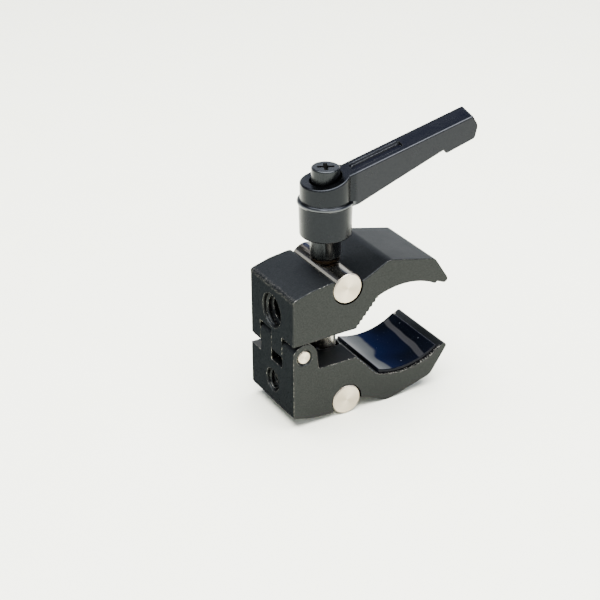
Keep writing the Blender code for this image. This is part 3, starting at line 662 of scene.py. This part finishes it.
def glossy_vinyl():
    material, shader = new_finish("glossy vinyl, pressed", "#06080f", 0.05, 0.0)
    shader.inputs["IOR"].default_value = 1.42
    place = add(material, "TexCoord")
    wave = add(material, "TexNoise", {"Scale": per_mm(WAVE_MM), "Detail": 0.5},
               Vector=place.outputs["Object"])
    dust = add(material, "TexVoronoi", {"Scale": per_mm(DUST_MM), "Randomness": 1.0},
               Vector=place.outputs["Object"])
    speck = add(material, "MapRange", {"From Min": 0.035, "From Max": 0.055, "To Min": 1.0, "To Max": 0.0},
                Value=dust)
    tone = add(material, "Mix", {"data_type": "RGBA", 6: colour("#06080e"), 7: colour("#6f7378")}, _0=speck)
    smear = add(material, "MapRange", {"To Min": 0.02, "To Max": 0.05}, Value=wave)
    across = add(material, "SeparateXYZ", Vector=place.outputs["Object"])
    along = add(material, "Math", {"operation": "SUBTRACT", 1: ORIGIN.x + SEAT[0] * MM},
                _0=across.outputs["X"])
    twist = add(material, "Math", {"operation": "MULTIPLY"}, _0=along, _1=across.outputs["Y"])
    bend = add(material, "Math", {"operation": "MULTIPLY", 1: TWIST}, _0=twist)
    height = add(material, "Math", {"operation": "MULTIPLY_ADD", 1: WAVE_DEPTH_MM * MM}, _0=wave, _2=bend)
    bump = add(material, "Bump", {"Strength": 1.0, "Distance": 1.0}, Height=height)
    facing = add(material, "SeparateXYZ", Vector=place.outputs["Normal"])
    side = add(material, "Math", {"operation": "ABSOLUTE"}, _0=facing.outputs["Y"])
    dull = add(material, "MapRange",
               {"From Min": 0.1, "From Max": 0.4, "To Min": 0.5, "To Max": 0.08}, Value=side)
    feed(material, shader, Base_Color=tone, Specular_IOR_Level=dull, Roughness=smear, Normal=bump)
    return material


VINYL = glossy_vinyl()
print(VINYL.name, "with", len(VINYL.node_tree.nodes), "nodes")


# %% [markdown]
# ## The jaws, the barrels and the pin
# Their shapes in the frame are right, with a broken edge all round, so each is copied and cleaned: flat
# areas become one face, so that no triangle shows in the shine. The frame's own nodes then step back. The
# broken edge takes the points off the upper jaw's teeth just where they are seen, at both sides of the jaw.
# On the real one they are cut right through, so two thin toothed strips are joined on there.

# %% A piece that takes the place of a node
def stand_in(piece, node, body, slot, *finishes):
    """The piece takes the place of a node of the frame and moves with its body."""
    piece.data.materials.clear()
    for finish in finishes:
        piece.data.materials.append(finish)
    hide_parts(node)
    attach(piece, body)
    return piece


print("nodes in the frame:", ", ".join(sorted(frame["nodes"])))


# %% The ends of the upper jaw's teeth
TEETH, TOOTH_DEPTH = 7, 0.45
SLOPE_FOOT, SLOPE_END = Vector((27.7, 30.7)), Vector((20.6, 22.6))
JAW_HALF, STRIP, ROOT = 12, 1, 1.3
PROUD, SHY = 0.03, 0.02     # the strips stand this far out of the jaw's own teeth, or stay this far inside


def toothed_strips():
    """A toothed strip for each side of the upper jaw's slope."""
    run = SLOPE_END - SLOPE_FOOT
    into = Vector((run.y, -run.x)).normalized()
    outline = [SLOPE_FOOT + into * ROOT]
    for i in range(TEETH):
        outline.append(SLOPE_FOOT + run * (i + 0.12) / TEETH - into * PROUD)
        outline.append(SLOPE_FOOT + run * (i + 0.56) / TEETH + into * (TOOTH_DEPTH - SHY))
    outline.append(SLOPE_FOOT + run * (TEETH - 0.02) / TEETH - into * PROUD)
    outline.append(SLOPE_END + into * ROOT - run * SHY)
    return [prism("strip", outline, low, low + STRIP) for low in (-JAW_HALF, JAW_HALF - STRIP)]


UPPER_JAW = refined("upper_jaw", "upper_jaw_fine")
UPPER_JAW.modifiers.clear()
for strip in toothed_strips():
    combined(UPPER_JAW, strip, "UNION")
shaded(cleaned(UPPER_JAW))
stand_in(UPPER_JAW, "upper_jaw", "upper_jaw", "coated_aluminium", ANODISED)
print("upper jaw:", len(UPPER_JAW.data.polygons), "faces")

# %% Clean copies of the other nodes
for node, body, slot, finish in (
    ("lower_jaw", "lower_jaw", "coated_aluminium", ANODISED),
    ("hinge_pin", "lower_jaw", "bright_steel", PIN_STEEL),
    ("upper_barrel", "upper_barrel", "bright_steel", UPPER_STEEL),
    ("lower_barrel_nut", "lower_barrel", "bright_steel", LOWER_STEEL),
    ("thrust_washer", "upper_barrel", "bronze", BRONZE),
    ("serrated_insert", "clamp_screw", "dark_steel", BLACKENED),
):
    copy = stand_in(refined(node, node + "_fine"), node, body, slot, finish)
    print(copy.name, len(copy.data.polygons), "faces")

# %% [markdown]
# ## Threads
# A 3/8 inch thread has 16 turns to the inch and a 1/4 inch thread has 20. Inside a hole the thread is a
# ridge that stands in from the wall, so each is one long ridge wound as a coil and set into its socket. The
# ridge's flanks make 60 degrees.

# %% Threads in the two sockets
INCH = 25.4
THREAD_START, THREAD_SPARE = 0.5, 0.6       # room left at the mouth, and at both ends together


def socket_thread(name, diameter, per_inch, depth, height, body):
    pitch = INCH / per_inch
    wall = diameter / 2 - 0.02
    crest = diameter / 2 - 0.54 * pitch
    section = [(wall, 0), (wall, pitch * 0.86), (crest, pitch * 0.56), (crest, pitch * 0.3)]
    lying = TO_CLAMP @ Matrix.Translation((0, 0, height)) @ Matrix.Rotation(pi / 2, 4, "Y")
    thread = coil(name, section, pitch, (depth - THREAD_SPARE) / pitch - 1, THREAD_START, place=lying)
    thread.data.materials.append(ANODISED)
    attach(thread, body)
    return shaded(thread)


BIG = socket_thread("big_socket_thread", INCH * 3 / 8, 16, 10.5, 28.5, "upper_jaw")
SMALL = socket_thread("small_socket_thread", INCH / 4, 20, 9.5, 5.8, "lower_jaw")
print("threads:", len(BIG.data.polygons), "and", len(SMALL.data.polygons), "faces")

# %% [markdown]
# ## The clamp screw
# The stud is an M6 bar with a pitch of 1 mm. It is smooth where it passes through the gap, and threaded
# below, where the lower barrel is its nut. The threaded part starts just under the lower jaw's floor, so it
# stays hidden until the clamp is opened.

# %% The stud with its thread
STUD_R, STUD_CORE = 3.0, 2.39
STUD_LOW, THREAD_TOP, STUD_HIGH = -3.9, 12.6, 47.4
STUD_PITCH, CHAMFER = 1.0, 0.5


def make_stud():
    section = [(0, STUD_HIGH), (STUD_R - CHAMFER, STUD_HIGH), (STUD_R, STUD_HIGH - CHAMFER),
               (STUD_R, THREAD_TOP), (STUD_CORE, THREAD_TOP - 0.7), (STUD_CORE, STUD_LOW + CHAMFER),
               (STUD_CORE - 0.6, STUD_LOW), (0, STUD_LOW)]
    stud = turned("clamp_stud_fine", section, 64)
    root, crest = STUD_CORE - 0.05, STUD_R - 0.02
    ridge = [(root, 0), (crest, 0.37), (crest, 0.5), (root, 0.87)]
    turns = (THREAD_TOP - STUD_LOW - 1.6) / STUD_PITCH
    thread = coil("stud_thread", ridge, STUD_PITCH, turns, STUD_LOW + 0.3, 36)
    both = bmesh.new()
    both.from_mesh(stud.data)
    both.from_mesh(thread.data)
    both.to_mesh(stud.data)
    both.free()
    bpy.data.objects.remove(thread, do_unlink=True)
    return shaded(stud)


STUD = stand_in(make_stud(), "clamp_stud", "clamp_screw", "bright_steel", GROUND)
print("stud:", len(STUD.data.polygons), "faces")

# %% [markdown]
# ## The retaining screw
# A cheese-head screw holds the lever on. Its cross recess is pressed with a pointed punch, so the four
# wings are tapered and meet in a small round well. The faces inside it are painted near black, a painted
# shade.

# %% The screw's head and its cross recess
HEAD_R, HEAD_LOW, HEAD_HIGH = 4.0, 63.0, 68.0
HEAD_ROUND, SHANK_R, SHANK_LOW = 0.45, 2.0, 48.9
RECESS_DEPTH, RECESS_TURN, RECESS_R = 2.3, -27, 2.9     # its turn in degrees
OVER = 0.5      # how far the cutting tools stand out of the head


def recess_wing(turn):
    """One arm of the cross, both ways from the middle, narrower and shorter at the bottom."""
    bm = bmesh.new()
    for z, reach, half in ((HEAD_HIGH - RECESS_DEPTH, 0.9, 0.3), (HEAD_HIGH + OVER, 2.7, 0.62)):
        for x in (-reach, reach):
            for y in (-half, half):
                bm.verts.new((x, y, z))
    bmesh.ops.convex_hull(bm, input=bm.verts)
    return to_object(bm, "wing", TO_SCREW @ Matrix.Rotation(radians(turn), 4, "Z"))


def make_retainer():
    rim = [Vector((HEAD_R - HEAD_ROUND + HEAD_ROUND * sin(a), HEAD_HIGH - HEAD_ROUND + HEAD_ROUND * cos(a)))
           for a in (radians(15 * k) for k in range(7))]
    section = [(0, HEAD_HIGH), *rim, (HEAD_R, HEAD_LOW + 0.2), (HEAD_R - 0.2, HEAD_LOW), (SHANK_R, HEAD_LOW),
               (SHANK_R, SHANK_LOW + 0.4), (SHANK_R - 0.4, SHANK_LOW), (0, SHANK_LOW)]
    screw = turned("retaining_screw_fine", section, 72)
    floor = HEAD_HIGH - RECESS_DEPTH
    over = HEAD_HIGH + OVER
    well = turned("well", [(0, over), (1.05, over), (0.7, floor), (0, floor - 0.35)], 24)
    for tool in (recess_wing(RECESS_TURN), recess_wing(RECESS_TURN + 90), well):
        combined(screw, tool, "DIFFERENCE")
    return shaded(cleaned(screw))


RETAINER = stand_in(make_retainer(), "retaining_screw", "clamp_screw", "dark_steel", BLACKENED, RECESS_SHADE)
# painted shade: faces inside the cross recess take the near-black finish
for face in RETAINER.data.polygons:
    inside = TO_SCREW.inverted() @ face.center
    if inside.xy.length < RECESS_R and HEAD_LOW < inside.z < HEAD_HIGH - 0.05:
        face.material_index = 1
print("retaining screw:", len(RETAINER.data.polygons), "faces")

# %% [markdown]
# ## The lever's spring
# The spring sits between the head of the retaining screw and the lever's web. When the lever is lifted
# 3.5 mm off its teeth, the real spring is pressed up against the head and gets shorter. Here it is a clean
# copy with a mesh of its own that moves with its body.

# %% The spring, a copy with a mesh of its own
SPRING = refined("lever_spring", "lever_spring_fine")
SPRING.modifiers.clear()
stand_in(SPRING, "lever_spring", "spring", "spring_steel", WIRE)
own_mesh(SPRING)

# %% [markdown]
# ## The lever
# Hub and arm are one casting. The hub is turned, with a round bead where the two halves of the mould meet,
# and the arm is a prism. Joined, they are cut by one roof that lies flat over the hub and climbs along the
# arm. Only then are the edges of the roof and of the arm rounded, so that the rounding runs all the way
# round in one piece. The bore and the shallow pocket in the arm come last and keep crisper edges.

# %% The hub and the arm
HUB_TOP, BEAD_Z = 63.75, 58.0
HUB_R_LOW, HUB_R_BEAD, HUB_R_TOP = 7.3, 7.5, 7.15
HUB_LOW, HUB_ROUND, BEAD_ROUND = 48.0, 0.55, 0.73
ARM_HALF, ARM_SLOPE, TIP_R = 4.2, radians(20.9), 42.2
ROOF_BEND, ROOF_ROUND = -1.04, 5.5      # where the flat roof bends up, and how far it is rounded each way


def arm_top(r):
    """Height of the roof over the arm, r from the screw's axis."""
    return HUB_TOP + 2.65 + (r - 5.9) * tan(ARM_SLOPE)


def make_hub():
    tall = arm_top(HUB_R_TOP) + 1
    bead = arc((7.22, BEAD_Z), BEAD_ROUND, 80, -62, 12)
    foot = arc((HUB_R_LOW - HUB_ROUND, HUB_LOW + HUB_ROUND), HUB_ROUND, 0, -90, 5)
    section = [(0, tall), (HUB_R_TOP, tall), (HUB_R_TOP, BEAD_Z + 0.85), *bead,
               (HUB_R_BEAD - 0.02, BEAD_Z - 0.95), (HUB_R_LOW, 48.6), *foot, (0, HUB_LOW)]
    hub = turned("lever_fine", section, 96)
    for vertex in hub.data.vertices:        # the two halves of the mould don't quite meet
        place = TO_LEVER.inverted() @ vertex.co
        if abs(place.z - BEAD_Z) < 1.0 and place.xy.length > HUB_R_TOP + 0.15 and place.y < -1.2:
            vertex.co.z += 0.12 * MM
    return hub


def make_arm():
    corners = [(0, 58.5, 0), (5.6, 57.0, 0), (8.2, 57.6, 1.5), (32.4, 70.35, 0), (33.3, 69.35, 0.5),
               (41.4, 72.95, 1.3), (TIP_R, 76.6, 2.5), (TIP_R - 1.7, arm_top(TIP_R - 1.7), 0),
               (TIP_R - 2.2, arm_top(TIP_R - 2.2) + 1.5, 0), (0, arm_top(0) + 1.5, 0)]
    return prism("arm", rounded(corners), -ARM_HALF, ARM_HALF, TO_LEVER)


def cut_roof(lever):
    corners = [(-12, HUB_TOP, 0), (ROOF_BEND, HUB_TOP, ROOF_ROUND / tan(ARM_SLOPE / 2)),
               (48, arm_top(48), 0), (48, 90, 0), (-12, 90, 0)]
    return combined(lever, prism("roof", rounded(corners, radians(2)), -12, 12, TO_LEVER), "DIFFERENCE")


LEVER = cut_roof(combined(make_hub(), make_arm(), "UNION"))
print("lever before its edges are rounded:", len(LEVER.data.polygons), "faces")


# %% Rounded edges, the bore and the pocket
LEVER_ROUND = 0.5
POCKET_CORNER, POCKET_OVER = 0.9, 2.0
BORE_R, WEB_R, INSERT_R = 4.6, 2.6, 5.7
WEB_HIGH, WEB_LOW = 55.8, 54.8


def rim_edge(edge):
    """True for the hard edges of the roof and of the arm."""
    if edge.calc_face_angle(0) < radians(40):
        return False
    ends = [TO_LEVER.inverted() @ vertex.co for vertex in edge.verts]
    middle = (ends[0] + ends[1]) / 2
    on_roof = abs(middle.z - max(HUB_TOP, arm_top(middle.x))) < 0.6 and middle.z > HUB_TOP - 0.1
    on_arm = middle.x > 10 and abs(middle.y) > ARM_HALF - 0.05
    return on_roof or on_arm or middle.x > TIP_R - 4


def pocket(length, width, draft, depth, middle_r):
    """A shallow pocket with sloping walls, laid on the arm's slope."""
    bm = bmesh.new()
    for z, inset in ((-depth, draft), (POCKET_OVER, -draft * POCKET_OVER / depth)):
        x, y = length / 2 - inset, width / 2 - inset
        corners = [(*corner, POCKET_CORNER) for corner in ((-x, -y), (x, -y), (x, y), (-x, y))]
        for point in rounded(corners, radians(10)):
            bm.verts.new((*point, z))
    bmesh.ops.convex_hull(bm, input=bm.verts)
    middle = Matrix.Translation((middle_r, 0, arm_top(middle_r)))
    return to_object(bm, "pocket", TO_LEVER @ middle @ Matrix.Rotation(-ARM_SLOPE, 4, "Y"))


def finish_lever(lever):
    cleaned(lever, LEVER_ROUND, 4, rim_edge)
    bore = [(0, 75), (BORE_R, 75), (BORE_R, WEB_HIGH), (WEB_R, WEB_HIGH), (WEB_R, WEB_LOW),
            (INSERT_R, WEB_LOW), (INSERT_R, 45), (0, 45)]
    combined(lever, turned("bore", bore, 72), "DIFFERENCE")
    combined(lever, pocket(length=15.4, width=4.3, draft=0.3, depth=0.7, middle_r=14.2), "DIFFERENCE")
    return shaded(lever)


stand_in(finish_lever(LEVER), "lever", "lever", "coated_zinc", ZINC)
print("lever:", len(LEVER.data.polygons), "faces")

# %% [markdown]
# ## The pad
# The pad follows the seat of the lower jaw and ends just past the seat's rise. It is one bent sheet with
# soft edges, drawn as its side view and pushed across the jaw.

# %% The pad
PAD_LOW, PAD_HIGH = 0.12, 1.12          # above the seat
PAD_HALF, PAD_ROUND, RUN_ON = 11.3, 0.22, 1.3
PAD_BACK, PAD_FRONT = -111, -59         # degrees round the seat's axis


def make_pad():
    end = radians(PAD_FRONT)
    along = Vector((-sin(end), cos(end)))
    up = Vector((-cos(end), -sin(end)))
    foot = Vector((SEAT[0] + SEAT_R * cos(end), SEAT[1] + SEAT_R * sin(end)))
    under, over = [arc(SEAT, SEAT_R - height, PAD_BACK, PAD_FRONT, 26) + [foot + along * RUN_ON + up * height]
                   for height in (PAD_LOW, PAD_HIGH)]
    pad = prism("jaw_pad_fine", under + over[::-1], -PAD_HALF, PAD_HALF)
    cleaned(pad, PAD_ROUND, 3, lambda edge: edge.calc_face_angle(0) > radians(50))
    return shaded(pad)


PAD = stand_in(make_pad(), "jaw_pad", "lower_jaw", "dark_vinyl", VINYL)
print("pad:", len(PAD.data.polygons), "faces")

# %% [markdown]
# ## Table, light and camera
# The clamp stands on a pale sweep of paper. A black object shows what it mirrors more than its own colour,
# so the room matters: pale near the table, then a zone of dark blue that is nearly black at the left, and
# nearly black all round higher up. One large soft box hangs above, with a weak one in front and a small card
# behind. The camera looks down at the clamp from the front left with a long lens.

# %% The table
TABLE_HALF, TABLE_GAP = 1.6, 0.00005     # metres
PAPER_CLOUD_MM = 30


def make_table():
    bm = bmesh.new()
    bmesh.ops.create_grid(bm, x_segments=8, y_segments=8, size=TABLE_HALF)
    table = to_object(bm, "table", Matrix.Translation((0, 0, CAD_BOX[0][2] - TABLE_GAP)))
    material, shader = new_finish("white paper, matt", "#efefe8", 0.6, 0.0)
    place = add(material, "TexCoord")
    cloud = add(material, "TexNoise", {"Scale": per_mm(PAPER_CLOUD_MM), "Detail": 3.0},
                Vector=place.outputs["Object"])
    tone = add(material, "Mix", {"data_type": "RGBA", 6: colour("#f0f1de"), 7: colour("#f3f4e6")}, _0=cloud)
    feed(material, shader, Base_Color=tone)
    table.data.materials.append(material)
    return table


print("table at", round(make_table().data.vertices[0].co.z * 1000, 2), "mm")


# %% The room
ROOM_STRENGTH = 2.6
ROOM = [(0.0, "#fffefa"), (0.2, "#e4e9ec"), (0.395, "#c8d0d6"), (0.425, "#2b3f7e"), (0.58, "#22336a"),
        (0.7, "#0b0d12"), (0.9, "#14171c"), (1.0, "#a0a2a4")]       # from level to straight above


def make_room():
    world = bpy.data.worlds.new("room")
    world.use_nodes = True
    bpy.context.scene.world = world
    place = add(world, "TexCoord")
    split = add(world, "SeparateXYZ", Vector=place.outputs["Generated"])
    ramp = add(world, "ValToRGB", Fac=split.outputs["Z"])
    band = ramp.color_ramp.elements
    for end, (height, hex_value) in zip(band, (ROOM[0], ROOM[-1])):
        end.position, end.color = height, colour(hex_value)
    for height, hex_value in ROOM[1:-1]:
        band.new(height).color = colour(hex_value)
    left = add(world, "MapRange", {"From Min": -0.05, "From Max": 0.12, "To Min": 1.0, "To Max": 0.0},
               Value=split.outputs["X"])
    high = add(world, "MapRange", {"From Min": 0.42, "From Max": 0.5}, Value=split.outputs["Z"])
    corner = add(world, "Math", {"operation": "MULTIPLY"}, _0=left, _1=high)
    shade = add(world, "Mix", {"data_type": "RGBA", 7: colour("#0e1014")}, _0=corner, _6=ramp)
    background = world.node_tree.nodes["Background"]
    background.inputs["Strength"].default_value = ROOM_STRENGTH
    feed(world, background, Color=shade)


make_room()
print("tones in the room:", len(ROOM))


# %% The soft boxes
AIM_HEIGHT = 0.03


def soft_box(name, azimuth, elevation, distance, size, watts):
    """An area light that faces the clamp, in metres and watts; azimuth 0 is in front, 90 to the right."""
    light = bpy.data.lights.new(name, "AREA")
    light.shape = "RECTANGLE"
    light.size, light.size_y = size
    light.energy = watts
    box = bpy.data.objects.new(name, light)
    bpy.context.scene.collection.objects.link(box)
    az, el = radians(azimuth), radians(elevation)
    away = Vector((sin(az) * cos(el), -cos(az) * cos(el), sin(el)))
    box.location = away * distance + Vector((0, 0, AIM_HEIGHT))
    box.rotation_euler = away.to_track_quat("Z", "Y").to_euler()


soft_box("box above", 0, 87, 0.9, (1.1, 1.1), 72.0)
soft_box("box in front", 10, 30, 0.9, (0.6, 0.5), 2.0)
soft_box("card behind", 176, 43, 0.8, (0.1, 0.3), 0.12)


# %% The camera
LENS_MM, SENSOR_MM = 86.06, 36
CAMERA_PLACE = (-0.19902, -0.30377, 0.22706)                                # metres
CAMERA_AZIMUTH, CAMERA_ELEVATION, CAMERA_ROLL = -30.3687, 28.6782, -0.3291  # degrees


def make_camera():
    """A camera in front and to the left of the clamp, looking down at it."""
    data = bpy.data.cameras.new("camera")
    data.lens, data.sensor_width = LENS_MM, SENSOR_MM
    camera = bpy.data.objects.new("camera", data)
    bpy.context.scene.collection.objects.link(camera)
    camera.matrix_world = (Matrix.Translation(CAMERA_PLACE)
                           @ Matrix.Rotation(radians(CAMERA_AZIMUTH), 4, "Z")
                           @ Matrix.Rotation(radians(90 - CAMERA_ELEVATION), 4, "X")
                           @ Matrix.Rotation(radians(CAMERA_ROLL), 4, "Z"))
    bpy.context.scene.camera = camera


make_camera()
print("camera:", [round(v, 3) for v in bpy.context.scene.camera.location])

# %% [markdown]
# ## Last step
# The scene is brought up to date at the end.

# %% Bring the scene up to date
bpy.context.view_layer.update()
